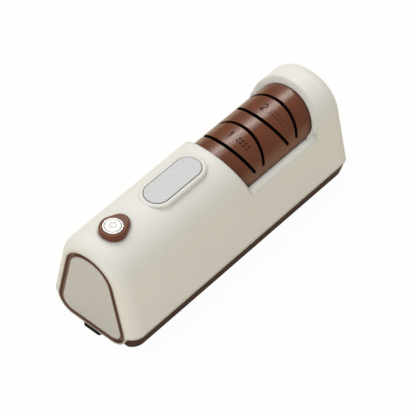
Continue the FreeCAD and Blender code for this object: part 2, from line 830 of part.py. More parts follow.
def near_block(x1):
    """Everything nearer than x1."""
    return box(NEAR_X - OVERCUT, x1, -BEYOND, BEYOND, -OVERCUT, BEYOND)


def base_plate():
    """Tray with a tapered side band, a tongue, bosses, ribs and feet seats."""
    top = SEAM_Z
    tray = base_outline(BASE_TAPER, BASE_TOP_INSET, FOOT_Z, top)
    tray = round_edges_at_z(tray, FOOT_Z, BASE_EDGE_R)
    hollow = base_outline(BASE_TAPER + WALL, WALL + BASE_TOP_INSET, FOOT_Z + FLOOR, top + SKIM)
    tray = tray.cut(hollow).fuse(tongue_ring(top)).cut(near_block(chin_back()))
    front = box(chin_back(), chin_back() + WALL, -BEYOND, BEYOND, FOOT_Z + FRONT_WALL_LIFT, top)
    front = front.common(base_outline(BASE_TAPER, BASE_TOP_INSET, FOOT_Z, top))
    tray = tray.fuse(front)
    tray = tray.fuse(base_bosses()).fuse(cell_cradles()).fuse(strap_posts())
    for x, y in screw_spots():
        tray = tray.cut(rod_z(x, y, 0, boss_bottom(), SCREW_R + SCREW_CLEAR))
        tray = tray.cut(rod_z(x, y, 0, screw_seat(), SCREW_HEAD_R + MOVE_GAP))
    for x, y in foot_spots():
        tray = tray.cut(rod_z(x, y, 0, FOOT_Z + FOOT_SEAT, FOOT_R + FIT_GAP))
    tray = tray.cut(end_foot_block(FIT_GAP, FOOT_Z + FOOT_SEAT))
    return tray.removeSplitter()


def tongue_ring(top):
    """Tongue that locates the shell, with the shelf that joins it to the wall."""
    lean_in = (TONGUE_HEIGHT + TONGUE_CLEAR) * math.tan(math.radians(SIDE_LEAN))
    seat = WALL + FIT_GAP + lean_in
    within = seat + TONGUE_WALL
    clear = near_block(rim_x() + END_WALL + FIT_GAP)
    tongue = base_outline(seat, seat, top - TONGUE_ROOT, top + TONGUE_HEIGHT)
    shelf = base_outline(WALL - SHELF_BITE, WALL - SHELF_BITE, top - SHELF_HEIGHT, top)
    hole = base_outline(within, within, top - CAVITY_DROP, top + CAVITY_DROP)
    return tongue.cut(hole).cut(clear).fuse(shelf.cut(hole).cut(clear))


def screw_seat():
    """Height where a base screw's head meets its boss."""
    return FOOT_Z + SCREW_HEAD + SCREW_SINK


def base_bosses():
    floor = FOOT_Z + FLOOR
    bosses = []
    for x, y in screw_spots():
        bosses.append(rod_z(x, y, floor - OVERCUT, boss_bottom() - FIT_GAP, BOSS_R + BASE_BOSS_WALL))
    return Part.makeCompound(bosses)


def foot_spots():
    return [(s * (FAR_X - FOOT_INSET_X), t * FOOT_Y) for s in (-1, 1) for t in (-1, 1)]


def rubber_feet():
    feet = []
    for x, y in foot_spots():
        foot = rod_z(x, y, 0, FOOT_Z + FOOT_SEAT, FOOT_R)
        feet.append(round_edges_at_z(foot, 0, FOOT_EDGE_R))
    return Part.makeCompound(feet)


def end_foot_block(grow, top):
    """Pad under the middle of the near end, reaching out below the chin."""
    x0 = rim_x() - END_FOOT_PROUD - grow
    x1 = rim_x() + END_FOOT_LENGTH + grow
    half = END_FOOT_WIDTH / 2 + grow
    block = box(x0, x1, -half, half, 0, top)
    uprights = [e for e in block.Edges if e.BoundBox.ZLength > top - TOLERANCE]
    return block.makeFillet(END_FOOT_CORNER_R, uprights)


def end_foot():
    low = end_foot_block(0, CHIN_Z - FIT_GAP)
    high = end_foot_block(0, FOOT_Z + FOOT_SEAT).cut(near_block(chin_back()))
    return round_edges_at_z(fuse_all([low, high]), 0, FOOT_EDGE_R)


def base_screws():
    screws = []
    for x, y in screw_spots():
        seat = screw_seat()
        low = seat - SCREW_HEAD
        slot = CROSS_WIDTH / 2
        drive = box(x - CROSS_HALF, x + CROSS_HALF, y - slot, y + slot, 0, low + CROSS_DEPTH)
        cross = box(x - slot, x + slot, y - CROSS_HALF, y + CROSS_HALF, 0, low + CROSS_DEPTH)
        head = rod_z(x, y, low, seat, SCREW_HEAD_R)
        shank = rod_z(x, y, seat, seat + SCREW_LENGTH - SCREW_TIP_GAP, SCREW_R - FIT_GAP / 2)
        screws.append(fuse_all([head, shank]).cut(drive).cut(cross))
    return Part.makeCompound(screws)


def motor_front():
    return CUT_NEAR_X - MOTOR_GAP_TO_CUT


def motor_back():
    """Where the motor's can ends and its end cap starts."""
    return motor_front() - MOTOR_LENGTH + MOTOR_CAP


def cell_start():
    return rim_x() + END_WALL + CELL_END_CLEAR


def cell_length():
    """Room from the first cell's tip to the motor's terminals."""
    return motor_back() - MOTOR_CAP - MOTOR_TAB - CELL_MOTOR_CLEAR - cell_start()


def cell_y(side):
    return side * (CELL_R + CELL_GAP / 2)


def cell_axis_z():
    return FOOT_Z + FLOOR + CRADLE_RIB + CELL_R


def battery_cells():
    """Two lithium cells side by side, each with its raised contact."""
    cells = []
    for side in (-1, 1):
        x0 = cell_start()
        body = rod_x(x0 + CELL_TIP, x0 + cell_length(), CELL_R, cell_y(side), cell_axis_z())
        tip = rod_x(x0, x0 + CELL_TIP + OVERCUT, CELL_TIP_R, cell_y(side), cell_axis_z())
        cells.append(fuse_all([body, tip]))
    return Part.makeCompound(cells)


def cell_cradles():
    """Ribs with round seats that the cells lie in."""
    ribs = []
    reach = 2 * CELL_R + CELL_GAP / 2 + CRADLE_SIDE
    low, high = FOOT_Z + FLOOR - OVERCUT, cell_axis_z() - CRADLE_TOP_DROP
    for share in CRADLE_SHARES:
        x = cell_start() + share * cell_length()
        x0, x1 = x - CRADLE_HALF, x + CRADLE_HALF
        rib = box(x0, x1, -reach, reach, low, high)
        for side in (-1, 1):
            seat = rod_x(x0 - OVERCUT, x1 + OVERCUT, CELL_R + FIT_GAP, cell_y(side), cell_axis_z())
            rib = rib.cut(seat)
        ribs.append(rib)
    return Part.makeCompound(ribs)


def strap_x():
    return cell_start() + cell_length() / 2


def strap_post_y():
    return 2 * CELL_R + CELL_GAP / 2 + STRAP_POST_GAP


def strap_posts():
    posts = []
    for side in (-1, 1):
        y = side * strap_post_y()
        post = rod_z(strap_x(), y, FOOT_Z + FLOOR - OVERCUT, cell_axis_z(), STRAP_POST_R)
        posts.append(post.cut(rod_z(strap_x(), y, FOOT_Z + FLOOR + STRAP_POST_FLOOR, HEIGHT, PILOT_R)))
    return Part.makeCompound(posts)


def battery_strap():
    """Sprung strap over the cells, screwed to two posts of the base."""
    z = cell_axis_z()
    half = STRAP_WIDTH / 2
    x0, x1 = strap_x() - half, strap_x() + half
    bodies = []
    for side in (-1, 1):
        bodies.append(rod_x(x0, x1, CELL_R + STRAP_THICK + FIT_GAP, cell_y(side), z))
    reach = strap_post_y() + STRAP_END
    bodies.append(box(x0, x1, -reach, reach, z, z + STRAP_THICK))
    bodies.append(box(x0, x1, -CELL_R, CELL_R, z, z + CELL_R + STRAP_THICK))
    strap = fuse_all(bodies).common(box(x0, x1, -reach, reach, z, HEIGHT))
    for side in (-1, 1):
        strap = strap.cut(rod_x(x0 - OVERCUT, x1 + OVERCUT, CELL_R + FIT_GAP, cell_y(side), z))
        strap = strap.cut(rod_z(strap_x(), side * strap_post_y(), 0, HEIGHT, STRAP_HOLE_R))
    return strap


def strap_screws():
    screws = []
    low = cell_axis_z() + STRAP_THICK
    for side in (-1, 1):
        y = side * strap_post_y()
        head = rod_z(strap_x(), y, low, low + SMALL_HEAD, SMALL_HEAD_R)
        shank = rod_z(strap_x(), y, low - STRAP_SCREW_SHANK, low, SMALL_SCREW_R)
        screws.append(fuse_all([head, shank]))
    return Part.makeCompound(screws)


def motor_section(radius, x0, x1):
    """Round can with two flats."""
    can = rod_x(x0, x1, radius)
    flats = box(x0, x1, -BEYOND, BEYOND, AXLE_Z - MOTOR_FLAT, AXLE_Z + MOTOR_FLAT)
    return can.common(flats)


def motor_can():
    front = motor_front()
    back = motor_back()
    can = motor_section(MOTOR_R, back, front)
    hollow = motor_section_inner(back - OVERCUT, front - MOTOR_WALL)
    boss = rod_x(front - MOTOR_WALL, front + MOTOR_BOSS, MOTOR_BOSS_R)
    can = fuse_all([can.cut(hollow), boss])
    can = can.cut(rod_x(back - OVERCUT, front + MOTOR_BOSS + OVERCUT, MOTOR_SHAFT_R + MOVE_GAP))
    for side in (-1, 1):
        y = side * MOTOR_SCREW_PITCH / 2
        can = can.cut(rod_x(front - MOTOR_WALL - OVERCUT, front + OVERCUT, MOTOR_TAP_R, y))
    return can


def motor_section_inner(x0, x1):
    core = rod_x(x0, x1, MOTOR_R - MOTOR_WALL)
    reach = MOTOR_FLAT - MOTOR_WALL
    return core.common(box(x0, x1, -BEYOND, BEYOND, AXLE_Z - reach, AXLE_Z + reach))


def motor_end_cap():
    """Plastic end bell with brush terminals."""
    front = motor_back()
    back = front - MOTOR_CAP
    wide, thick = MOTOR_TAB_WIDTH / 2, MOTOR_TAB_THICK / 2
    bodies = [motor_section(MOTOR_R - MOTOR_CAP_STEP, back, front)]
    bodies.append(rod_x(back - MOTOR_CAP_BOSS, back + OVERCUT, MOTOR_CAP_BOSS_R))
    for side in (-1, 1):
        y = side * MOTOR_TAB_Y
        tab = box(back - MOTOR_TAB, back + OVERCUT, y - wide, y + wide, AXLE_Z - thick, AXLE_Z + thick)
        bodies.append(tab)
    bore = rod_x(back - MOTOR_CAP_BORE, front + OVERCUT, MOTOR_SHAFT_R + MOVE_GAP)
    return fuse_all(bodies).cut(bore)


def motor_rotor():
    """Laminated armature, commutator and shaft in one piece."""
    back = motor_back()
    core_r = MOTOR_FLAT - MOTOR_WALL - MOVE_GAP
    x0, x1 = back + ROTOR_BACK_GAP, motor_front() - ROTOR_FRONT_GAP
    core = rod_x(x0, x1, core_r)
    for i in range(ROTOR_SLOTS):
        angle = 2 * math.pi * i / ROTOR_SLOTS
        y = core_r * math.cos(angle)
        z = AXLE_Z + core_r * math.sin(angle)
        core = core.cut(rod_x(x0 - OVERCUT, x1 + OVERCUT, ROTOR_SLOT_R, y, z))
    brushes_x = back + COMMUTATOR_BACK_GAP
    commutator = rod_x(brushes_x, brushes_x + COMMUTATOR_LENGTH, COMMUTATOR_R)
    shaft = rod_x(back - MOTOR_CAP + SHAFT_END_GAP, coupling_mid() - MOVE_GAP, MOTOR_SHAFT_R)
    return fuse_all([core, commutator, shaft])


def coupling_span():
    start = motor_front() + MOTOR_BOSS + COUPLING_CLEAR
    return start, start + COUPLING_LENGTH


def coupling_mid():
    x0, x1 = coupling_span()
    return (x0 + x1) / 2


def shaft_coupling():
    """Rigid sleeve that joins the motor shaft and the axle."""
    x0, x1 = coupling_span()
    body = rod_x(x0, x1, COUPLING_R)
    body = body.cut(rod_x(x0 - OVERCUT, coupling_mid(), MOTOR_SHAFT_R))
    return body.cut(rod_x(coupling_mid(), x1 + OVERCUT, AXLE_R))


def motor_mount():
    """Upright plate with a foot and gussets, screwed to the motor's face."""
    front = motor_front() + FIT_GAP
    back = front + MOUNT_THICK
    floor = FOOT_Z + FLOOR
    plate = box(front, back, -MOUNT_HALF, MOUNT_HALF, floor, MOUNT_TOP_Z)
    tops = []
    for edge in plate.Edges:
        if edge.BoundBox.XLength > MOUNT_THICK / 2 and edge.BoundBox.ZMin > MOUNT_TOP_Z - TOLERANCE:
            tops.append(edge)
    plate = plate.makeFillet(MOUNT_CORNER_R, tops)
    foot = box(front - MOUNT_FOOT, back, -MOUNT_HALF, MOUNT_HALF, floor, floor + MOUNT_FOOT_THICK)
    gussets = []
    for side in (-1, 1):
        y = side * (MOUNT_HALF - GUSSET_THICK / 2) - GUSSET_THICK / 2
        points = [V(front, y, floor), V(front - GUSSET_REACH, y, floor), V(front, y, floor + GUSSET_HEIGHT)]
        gussets.append(Part.Face(Part.makePolygon(points + [points[0]])).extrude(V(0, GUSSET_THICK, 0)))
    mount = fuse_all([plate, foot] + gussets)
    mount = mount.cut(rod_x(front - OVERCUT, back + OVERCUT, COUPLING_R + COUPLING_CLEAR))
    for side in (-1, 1):
        y = side * MOTOR_SCREW_PITCH / 2
        mount = mount.cut(rod_x(front - OVERCUT, back + OVERCUT, MOTOR_SCREW_HOLE_R, y))
    return mount


def motor_screws():
    screws = []
    back = motor_front() + FIT_GAP + MOUNT_THICK
    for side in (-1, 1):
        y = side * MOTOR_SCREW_PITCH / 2
        head = rod_x(back, back + SMALL_HEAD, MOTOR_SCREW_HEAD_R, y)
        screws.append(fuse_all([head, rod_x(back - MOTOR_SCREW_SHANK, back, MOTOR_SCREW_R, y)]))
    return Part.makeCompound(screws)


def trough_span():
    x0 = slanted(CUT_NEAR_X, -CUT_NEAR_LEAN, LEDGE_Z) + TROUGH_END_GAP
    x1 = slanted(CUT_FAR_X, CUT_FAR_LEAN, LEDGE_Z) - TROUGH_END_GAP
    return x0, x1


def round_long_edges(shape, z, radius):
    """Round the edges that run along X at height z."""
    edges = []
    for edge in shape.Edges:
        bounds = edge.BoundBox
        if bounds.YLength < TOLERANCE and abs(bounds.ZMax - z) < TOLERANCE and bounds.XLength > radius:
            edges.append(edge)
    return shape.makeFillet(radius, edges)


def wheel_trough():
    """Open trough below the wheels with a bearing seat in each end wall."""
    x0, x1 = trough_span()
    floor = FOOT_Z + FLOOR
    outer = box(x0, x1, -TROUGH_HALF, TROUGH_HALF, floor, TROUGH_TOP_Z)
    outer = round_long_edges(outer, floor, TROUGH_OUTER_R)
    half = TROUGH_HALF - TROUGH_WALL
    inner = box(x0 + TROUGH_END_WALL, x1 - TROUGH_END_WALL, -half, half, floor + TROUGH_FLOOR, BEYOND)
    inner = round_long_edges(inner, floor + TROUGH_FLOOR, TROUGH_INNER_R)
    ends = []
    for a, b in ((x0, x0 + TROUGH_END_WALL), (x1 - TROUGH_END_WALL, x1)):
        ends.append(rod_x(a, b, TROUGH_END_TOP_R))
        ends.append(box(a, b, -TROUGH_END_TOP_R, TROUGH_END_TOP_R, TROUGH_TOP_Z - TROUGH_END_ROOT, AXLE_Z))
    trough = fuse_all([outer.cut(inner)] + ends)
    seat_near = rod_x(x0 + TROUGH_END_WALL - BEARING_WIDTH, x0 + TROUGH_END_WALL + OVERCUT, BEARING_R)
    seat_far = rod_x(x1 - TROUGH_END_WALL - OVERCUT, x1 - TROUGH_END_WALL + BEARING_WIDTH, BEARING_R)
    through = rod_x(x0 - OVERCUT, x1 + OVERCUT, BEARING_R - BEARING_RACE)
    return trough.cut(seat_near).cut(seat_far).cut(through)


def bearing(x0):
    """Ball bearing with recessed shields between its races."""
    x1 = x0 + BEARING_WIDTH
    bore = AXLE_R + RUNNING_GAP
    ring = rod_x(x0, x1, BEARING_R).cut(rod_x(x0 - OVERCUT, x1 + OVERCUT, bore))
    for a, b in ((x0 - OVERCUT, x0 + SHIELD_DEPTH), (x1 - SHIELD_DEPTH, x1 + OVERCUT)):
        recess = rod_x(a, b, BEARING_R - BEARING_RACE)
        ring = ring.cut(recess.cut(rod_x(a - OVERCUT, b + OVERCUT, bore + INNER_RACE)))
    return ring


def bearing_places():
    x0, x1 = trough_span()
    return x0 + TROUGH_END_WALL - BEARING_WIDTH, x1 - TROUGH_END_WALL


def clip_x():
    return bearing_places()[1] + BEARING_WIDTH + MOVE_GAP


def drive_axle():
    low, high = clip_x(), clip_x() + CLIP_THICK
    end = high + AXLE_TAIL
    axle = rod_x(coupling_mid() + SHAFT_END_GAP, end, AXLE_R)
    axle = axle.makeChamfer(AXLE_CHAMFER, edges_at_x(axle, end))
    groove = rod_x(low, high, AXLE_R + OVERCUT).cut(rod_x(low, high, AXLE_R - CLIP_BITE))
    return axle.cut(groove)


def retaining_clip():
    """E-shaped clip in the axle's end groove."""
    x0, x1 = clip_x() - OVERCUT, clip_x() + CLIP_THICK + OVERCUT
    clip = rod_x(clip_x(), clip_x() + CLIP_THICK, CLIP_R)
    clip = clip.cut(rod_x(x0, x1, AXLE_R - CLIP_BITE))
    for angle in CLIP_NOTCH_ANGLES:
        a = math.radians(angle)
        y, z = CLIP_NOTCH_REACH * math.cos(a), AXLE_Z + CLIP_NOTCH_REACH * math.sin(a)
        clip = clip.cut(rod_x(x0, x1, CLIP_NOTCH_R, y, z))
    return clip.cut(box(x0, x1, -CLIP_MOUTH_HALF, CLIP_MOUTH_HALF, AXLE_Z - CLIP_R - OVERCUT, AXLE_Z))


def wheel(x_mid):
    """Grinding wheel core: hub, thin web and thick rim for the grit faces."""
    half = WHEEL_HALF
    rim_in = WHEEL_R - GRIT_BAND
    web = half * WHEEL_WEB_SHARE
    profile = [(AXLE_R, -WHEEL_HUB_HALF), (WHEEL_HUB_R, -WHEEL_HUB_HALF), (WHEEL_HUB_R, -web)]
    profile += [(rim_in - WHEEL_RIM_BEVEL, -web), (rim_in, -half), (WHEEL_R, -half)]
    profile += [(r, -x) for r, x in reversed(profile)]
    points = [V(x_mid + x, 0, AXLE_Z + r) for r, x in profile]
    face = Part.Face(Part.makePolygon(points + [points[0]]))
    core = face.revolve(V(0, 0, AXLE_Z), X_AXIS, 360)
    reach = (WHEEL_HUB_R + rim_in) / 2 + WHEEL_HOLE_SHIFT
    x0, x1 = x_mid - WHEEL_HUB_HALF, x_mid + WHEEL_HUB_HALF
    for i in range(WHEEL_HOLES):
        a = 2 * math.pi * (i + 0.5) / WHEEL_HOLES
        core = core.cut(rod_x(x0, x1, WHEEL_HOLE_R, reach * math.cos(a), AXLE_Z + reach * math.sin(a)))
    return core


def grit_rings(x_mid):
    """Abrasive rings bonded to both faces of a wheel."""
    rings = []
    for side in (-1, 1):
        a = x_mid + side * WHEEL_HALF
        b = a + side * GRIT_THICK
        x0, x1 = min(a, b), max(a, b)
        hole = rod_x(x0 - OVERCUT, x1 + OVERCUT, WHEEL_R - GRIT_BAND + GRIT_INNER_INSET)
        rings.append(rod_x(x0, x1, WHEEL_R - GRIT_OUTER_INSET).cut(hole))
    return Part.makeCompound(rings)


def sleeve(x0, x1):
    return rod_x(x0, x1, SPACER_R).cut(rod_x(x0 - OVERCUT, x1 + OVERCUT, AXLE_R))


def spacers():
    """Sleeves that keep the wheels apart and off the bearings."""
    near_bearing = bearing_places()[0] + BEARING_WIDTH
    far_bearing = bearing_places()[1]
    hubs = [(x - WHEEL_HUB_HALF, x + WHEEL_HUB_HALF) for x in STAGES]
    spans = [(near_bearing + MOVE_GAP, hubs[0][0]), (hubs[0][1], hubs[1][0])]
    spans.append((hubs[1][1], far_bearing - MOVE_GAP))
    return Part.makeCompound([sleeve(a, b) for a, b in spans])


def slot_blade(x_mid, side, width):
    """A thin leaning slab that cuts one sharpening slot."""
    lean = math.radians(SLOT_LEAN) * side
    half = width / 2 / math.cos(lean)
    x_low = x_mid + side * SLOT_FLOOR_HALF_GAP
    rise = HEIGHT + OVERCUT - SLOT_FLOOR_Z
    shift = math.tan(lean) * rise
    points = [V(x_low - half, -BEYOND, SLOT_FLOOR_Z), V(x_low + half, -BEYOND, SLOT_FLOOR_Z)]
    points.append(V(x_low + half + shift, -BEYOND, SLOT_FLOOR_Z + rise))
    points.append(V(x_low - half + shift, -BEYOND, SLOT_FLOOR_Z + rise))
    slab = Part.Face(Part.makePolygon(points + [points[0]])).extrude(V(0, 2 * BEYOND, 0))
    low = []
    for edge in slab.Edges:
        if edge.BoundBox.YLength > BEYOND and edge.BoundBox.ZMax < SLOT_FLOOR_Z + TOLERANCE:
            low.append(edge)
    return slab.makeFillet(width * SLOT_FLOOR_ROUND, low)


def slot_cutters(extra):
    return [slot_blade(x, side, SLOT_WIDTH + extra) for x in STAGES for side in (-1, 1)]


def head_cover():
    """Lift-off cover: arched shell with end walls, a skirt and four sharpening slots."""
    low = LEDGE_Z - COLLAR_DEPTH + LIP_THICK + MOVE_GAP
    under_low = low - OVERCUT
    x0, x1 = CUT_NEAR_X - PAST_CUT, CUT_FAR_X + PAST_CUT
    above = head_window(MOVE_GAP, LEDGE_Z + MOVE_GAP, CUT_CORNER_R - MOVE_GAP)
    skirt = head_window(MOVE_GAP, under_low, 0).common(skirt_block(0, under_low, LEDGE_Z + OVERCUT))
    outer = arch_bar(HEAD_INSET, low, x0, x1).common(above.fuse(skirt))
    half = skirt_half() - HEAD_WALL
    hollow = arch_bar(HEAD_INSET + HEAD_WALL, under_low, x0, x1).common(box(x0, x1, -half, half, 0, HEIGHT))
    inner = hollow.common(head_window(MOVE_GAP + HEAD_END_WALL, under_low - OVERCUT, 0))
    under = hollow.common(box(x0, x1, -half, half, 0, HEAD_END_BOTTOM))
    cover = outer.cut(inner).cut(under)
    for blade in slot_cutters(0):
        cover = cover.cut(blade)
    return cover.removeSplitter()


def blade_guide():
    """Block under the cover whose slots hold the blade at the grinding angle."""
    inset = HEAD_INSET + HEAD_WALL + GUIDE_GAP
    low = SLOT_FLOOR_Z - GUIDE_WEB
    gap = MOVE_GAP + HEAD_END_WALL + GUIDE_END_GAP
    block = arch_bar(inset, low, CUT_NEAR_X - PAST_CUT, CUT_FAR_X + PAST_CUT)
    block = block.common(head_window(gap, low - OVERCUT, 0))
    for blade in slot_cutters(GUIDE_SLOT_EXTRA):
        block = block.cut(blade)
    for x in STAGES:
        half = WHEEL_HALF + GRIT_THICK + WHEEL_SIDE_CLEAR
        block = block.cut(rod_x(x - half, x + half, WHEEL_R + WHEEL_TOP_CLEAR))
    return block


def pill(r, width, y0, y1):
    """Round-ended bar across Y, as the socket's outline."""
    half = width / 2 - r
    parts = [box(PORT_X - half, PORT_X + half, y0, y1, PORT_Z - r, PORT_Z + r)]
    for side in (-1, 1):
        parts.append(Part.makeCylinder(r, y1 - y0, V(PORT_X + side * half, y0, PORT_Z), Y_AXIS))
    return fuse_all(parts)


def port_hole():
    y = half_width_at(PORT_Z)
    width = PORT_WIDTH + 2 * PORT_MARGIN
    return pill(PORT_HEIGHT / 2 + PORT_MARGIN, width, y - PORT_HOLE_REACH, y + PORT_HOLE_REACH)


def port_mouth_y():
    return half_width_at(PORT_Z + PORT_HEIGHT / 2) - PORT_RECESS


def charge_port():
    """Metal shell of the charging socket with its contact tongue."""
    mouth = port_mouth_y()
    back = mouth - PORT_DEPTH
    shell = pill(PORT_HEIGHT / 2, PORT_WIDTH, back, mouth)
    within = pill(PORT_HEIGHT / 2 - PORT_SHELL, PORT_WIDTH - 2 * PORT_SHELL, back + OVERCUT, mouth + OVERCUT)
    wide, thick = PORT_TONGUE_WIDTH / 2, PORT_TONGUE_THICK / 2
    tip = mouth - PORT_TONGUE_RECESS
    tongue = box(PORT_X - wide, PORT_X + wide, back, tip, PORT_Z - thick, PORT_Z + thick)
    return fuse_all([shell.cut(within), tongue])


def charge_board_top():
    return PORT_Z - PORT_HEIGHT / 2


def charge_board_back():
    return port_mouth_y() - PORT_DEPTH - PORT_BOARD_TAIL


def charge_board():
    """Small board under the socket, resting on two ribs of the side wall."""
    top = charge_board_top()
    back = charge_board_back()
    half = PORT_BOARD_LENGTH / 2
    return box(PORT_X - half, PORT_X + half, back, back + PORT_BOARD_WIDTH, top - PORT_BOARD, top)


def port_ribs(inner):
    """Ribs on the side wall that carry the charging socket's board."""
    top = charge_board_top() - PORT_BOARD
    reach = PORT_BOARD_LENGTH / 2 - PORT_RIB_INSET
    ribs = []
    for x in (PORT_X - reach, PORT_X + reach):
        x0, x1 = x - PORT_RIB / 2, x + PORT_RIB / 2
        ribs.append(box(x0, x1, charge_board_back(), HALF_WIDTH, top - PORT_RIB_DEPTH, top))
    return Part.makeCompound(ribs).common(inner)


def main():
    os.makedirs("parts", exist_ok=True)
    save("upper_housing", upper_housing())
    save("base_plate", base_plate())
    save("end_bezel", end_bezel())
    save("end_panel", end_panel())
    save("top_plate", top_plate())
    save("button_collar", button_collar())
    save("button_ring", button_ring())
    save("power_button", power_button())
    save("switch_plunger", switch_plunger())
    save("power_switch", power_switch())
    save("control_board", control_board())
    save("board_screws", board_screws())
    save("charge_port", charge_port())
    save("charge_board", charge_board())
    save("battery_cells", battery_cells())
    save("battery_strap", battery_strap())
    save("strap_screws", strap_screws())
    save("motor_can", motor_can())
    save("motor_end_cap", motor_end_cap())
    save("motor_rotor", motor_rotor())
    save("motor_mount", motor_mount())
    save("motor_screws", motor_screws())
    save("shaft_coupling", shaft_coupling())
    save("drive_axle", drive_axle())
    save("near_bearing", bearing(bearing_places()[0]))
    save("far_bearing", bearing(bearing_places()[1]))
    save("retaining_clip", retaining_clip())
    save("axle_spacers", spacers())
    save("coarse_wheel", wheel(STAGES[0]))
    save("fine_wheel", wheel(STAGES[1]))
    save("coarse_grit", grit_rings(STAGES[0]))
    save("fine_grit", grit_rings(STAGES[1]))
    save("wheel_trough", wheel_trough())
    save("head_cover", head_cover())
    save("blade_guide", blade_guide())
    save("rubber_feet", rubber_feet())
    save("end_foot", end_foot())
    save("base_screws", base_screws())


main()
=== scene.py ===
"""Looks of the electric knife sharpener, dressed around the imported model. Metres."""

import json
import math

import bmesh
import bpy
from mathutils import Matrix, Vector
from mathutils.bvhtree import BVHTree


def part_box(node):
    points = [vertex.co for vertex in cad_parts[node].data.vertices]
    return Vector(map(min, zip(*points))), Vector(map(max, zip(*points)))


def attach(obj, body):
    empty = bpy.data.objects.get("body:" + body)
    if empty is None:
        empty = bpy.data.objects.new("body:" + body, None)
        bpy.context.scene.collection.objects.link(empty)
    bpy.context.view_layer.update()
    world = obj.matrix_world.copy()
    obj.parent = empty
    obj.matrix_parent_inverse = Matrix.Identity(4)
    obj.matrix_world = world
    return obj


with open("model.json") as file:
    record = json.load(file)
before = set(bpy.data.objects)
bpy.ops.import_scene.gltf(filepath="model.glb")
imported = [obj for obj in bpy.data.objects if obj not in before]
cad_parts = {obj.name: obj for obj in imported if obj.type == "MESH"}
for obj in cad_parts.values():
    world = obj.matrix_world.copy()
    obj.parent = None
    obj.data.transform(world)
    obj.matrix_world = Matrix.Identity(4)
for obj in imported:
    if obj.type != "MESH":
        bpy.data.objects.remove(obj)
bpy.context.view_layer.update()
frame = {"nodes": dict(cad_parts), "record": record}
NODES = frame["nodes"]

MM = 0.001

# Camera, as the photograph was taken
AZIMUTH = math.radians(-48.31)
ELEVATION = math.radians(48.74)
AIM = Vector((-3.0, 0.0, 33.6)) * MM
DISTANCE = 1586.0 * MM
SLIDE_RIGHT = -4.75 * MM
SLIDE_UP = 3.25 * MM
PIXELS_PER_MM = 1.6132
FRAME_PIXELS = 416
SENSOR = 36.0
CLIP_END = 20.0

# Room light: WORLD_STRENGTH reaches matt surfaces, GLOSS_SHARE of it is seen in reflections
WORLD_STRENGTH = 0.57
SKY_LOW = (0.98, 0.93, 0.80)
SKY_HIGH = (0.99, 1.0, 1.0)
SKY_HIGH_AT = 0.7
GLOSS_SHARE = 0.36

# Area lamps; the streak lamp is a strip
LAMPS = {
    "key": dict(place=(-0.25, 0.55, 1.1), aim=(0, 0, 0.03), size=0.9, power=3.9, colour=(0.96, 0.985, 1)),
    "streak": dict(place=(0.55, 0.53, 1.0), aim=(0.03, 0, 0.07), size=0.9, power=5.0,
                   colour=(1, 0.95, 0.88), size_y=0.13),
    "near_fill": dict(place=(-1.0, -0.5, 0.5), aim=(0, 0, 0.03), size=0.8, power=3.5,
                      colour=(1, 0.985, 0.95)),
}

# Floor: FLOOR_WHITE is the share of plain white that only the camera sees
FLOOR_HALF = 3.0
FLOOR_COLOUR = (0.80, 0.73, 0.57)
FLOOR_ROUGH = 0.8
FLOOR_WHITE = 0.965

# Surface detail
MOTTLE_SCALE = 35.0
MOTTLE_DETAIL = 2.0
GRAIN_DETAIL = 4.0
ROUGH_SWING = 0.1
BUMP_REACH = 0.0002
EDGE_SAMPLES = 6
# Painted shade in narrow hollows: samples of its occlusion test and the near-black colour it paints
HOLLOW_SHADE_SAMPLES = 8
HOLLOW_SHADE_COLOUR = (0.004, 0.0025, 0.002)
SPECKLE_SCALE = 1500.0
SPECKLE_BUMP = 0.15

# Power sign on the button
SIGN_R_IN = 1.75 * MM
SIGN_R_OUT = 2.15 * MM
SIGN_GAP = math.radians(34)
SIGN_BAR_LENGTH = 2.0 * MM
SIGN_BAR_WIDTH = 0.4 * MM
SIGN_RISE = 0.09 * MM
SIGN_SINK = 0.05 * MM

# Stage marks on the cover: a numeral, then two rows of dots
NUMERAL_HEIGHT = 5.6 * MM
NUMERAL_WIDTH = 0.62 * NUMERAL_HEIGHT
NUMERAL_Y = 3.2 * MM
STROKE_WIDTH = 0.95 * MM
STROKE_FLAT = 0.7
STROKE_RISE = 0.06 * MM
STROKE_SINK = 0.12 * MM
STROKE_STEPS = 6
DOT_FIRST_Y = -4.6 * MM
DOT_ROW_X = 1.3 * MM
DOT_CAP = math.radians(80)
DOT_HEIGHT_SHARE = 0.45
DOT_SINK = 0.05 * MM
DOT_RINGS = 4
DOT_SEGMENTS = 16
PROBE_Z = 0.2
STAGES = {
    1: dict(wheel="coarse_wheel", radius=0.72 * MM, step=2.5 * MM, count=4),
    2: dict(wheel="fine_wheel", radius=0.46 * MM, step=1.7 * MM, count=6),
}

# Painted shade of the gap round the top plate: a dark ring at the pad's height below the plate's top
PLATE_PROUD = 0.4 * MM
GAP_INSIDE = 0.05 * MM
GAP_OUTSIDE = 0.42 * MM
GAP_DEPTH = 0.2 * MM
GAP_RISE = 0.015 * MM


def camera_axes():
    """Right, up and forward of the camera."""
    cos_az, sin_az = math.cos(AZIMUTH), math.sin(AZIMUTH)
    cos_el, sin_el = math.cos(ELEVATION), math.sin(ELEVATION)
    right = Vector((cos_az, sin_az, 0))
    up = Vector((-sin_az * sin_el, cos_az * sin_el, cos_el))
    forward = Vector((-sin_az * cos_el, cos_az * cos_el, -sin_el))
    return right, up, forward


